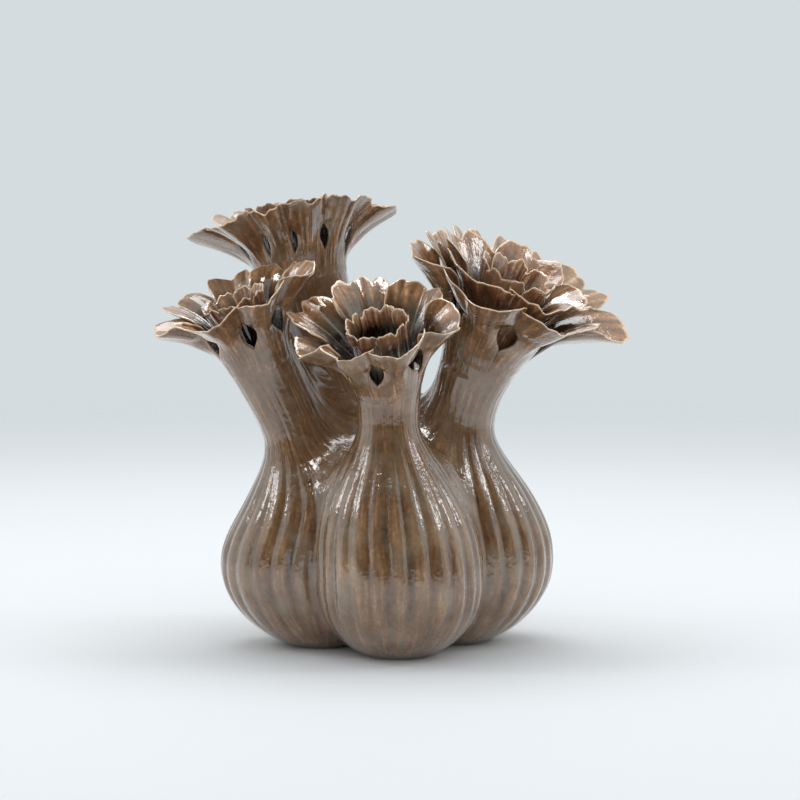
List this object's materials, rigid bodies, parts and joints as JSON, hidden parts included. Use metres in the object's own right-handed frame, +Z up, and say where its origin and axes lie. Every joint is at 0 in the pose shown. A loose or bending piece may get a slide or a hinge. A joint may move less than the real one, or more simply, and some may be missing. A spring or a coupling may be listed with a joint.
{
  "type": "flower-mouthed cluster vase",
  "caption": "Cluster vase of fluted gourds luted in a square, each with a leaning neck and a mouth of ruffled petals, in brown glazed stoneware.",
  "frame": {"origin": "on the surface that the vase stands on, under the middle of its overall box", "axes": "+Z up, -Y towards the front gourd and the picture's camera, +X to the viewer's right"},
  "size_m": [0.3093, 0.234, 0.2967],
  "materials": {
    "gourd_glaze": "high-gloss brown iron glaze with a grey bloom, thin and tan at the edges",
    "petal_glaze": "high-gloss brown iron glaze with a grey bloom, thin and tan at the edges",
    "cup_glaze": "high-gloss brown iron glaze with a grey bloom, thin and tan at the edges, a little yellower"
  },
  "bodies": {
    "root": {"back_inner_petal_1": "cup_glaze", "back_inner_petal_2": "cup_glaze", "back_inner_petal_3": "cup_glaze", "back_inner_petal_4": "cup_glaze", "back_inner_petal_5": "cup_glaze", "back_outer_petal_1": "petal_glaze", "back_outer_petal_2": "petal_glaze", "back_outer_petal_3": "petal_glaze", "back_outer_petal_4": "petal_glaze", "back_outer_petal_5": "petal_glaze", "back_outer_petal_6": "petal_glaze", "back_outer_petal_7": "petal_glaze", "back_outer_petal_8": "petal_glaze", "back_outer_petal_9": "petal_glaze", "front_inner_petal_1": "cup_glaze", "front_inner_petal_2": "cup_glaze", "front_inner_petal_3": "cup_glaze", "front_inner_petal_4": "cup_glaze", "front_inner_petal_5": "cup_glaze", "front_outer_petal_1": "petal_glaze", "front_outer_petal_2": "petal_glaze", "front_outer_petal_3": "petal_glaze", "front_outer_petal_4": "petal_glaze", "front_outer_petal_5": "petal_glaze", "front_outer_petal_6": "petal_glaze", "front_outer_petal_7": "petal_glaze", "gourd_back": "gourd_glaze", "gourd_front": "gourd_glaze", "gourd_left": "gourd_glaze", "gourd_right": "gourd_glaze", "left_inner_petal_1": "cup_glaze", "left_inner_petal_2": "cup_glaze", "left_inner_petal_3": "cup_glaze", "left_inner_petal_4": "cup_glaze", "left_inner_petal_5": "cup_glaze", "left_outer_petal_1": "petal_glaze", "left_outer_petal_2": "petal_glaze", "left_outer_petal_3": "petal_glaze", "left_outer_petal_4": "petal_glaze", "left_outer_petal_5": "petal_glaze", "left_outer_petal_6": "petal_glaze", "left_outer_petal_7": "petal_glaze", "right_inner_petal_1": "cup_glaze", "right_inner_petal_2": "cup_glaze", "right_inner_petal_3": "cup_glaze", "right_inner_petal_4": "cup_glaze", "right_inner_petal_5": "cup_glaze", "right_middle_petal_1": "cup_glaze", "right_middle_petal_2": "cup_glaze", "right_middle_petal_3": "cup_glaze", "right_middle_petal_4": "cup_glaze", "right_middle_petal_5": "cup_glaze", "right_outer_petal_1": "petal_glaze", "right_outer_petal_2": "petal_glaze", "right_outer_petal_3": "petal_glaze", "right_outer_petal_4": "petal_glaze", "right_outer_petal_5": "petal_glaze", "right_outer_petal_6": "petal_glaze", "right_outer_petal_7": "petal_glaze", "right_outer_petal_8": "petal_glaze"}
  },
  "joints": []
}
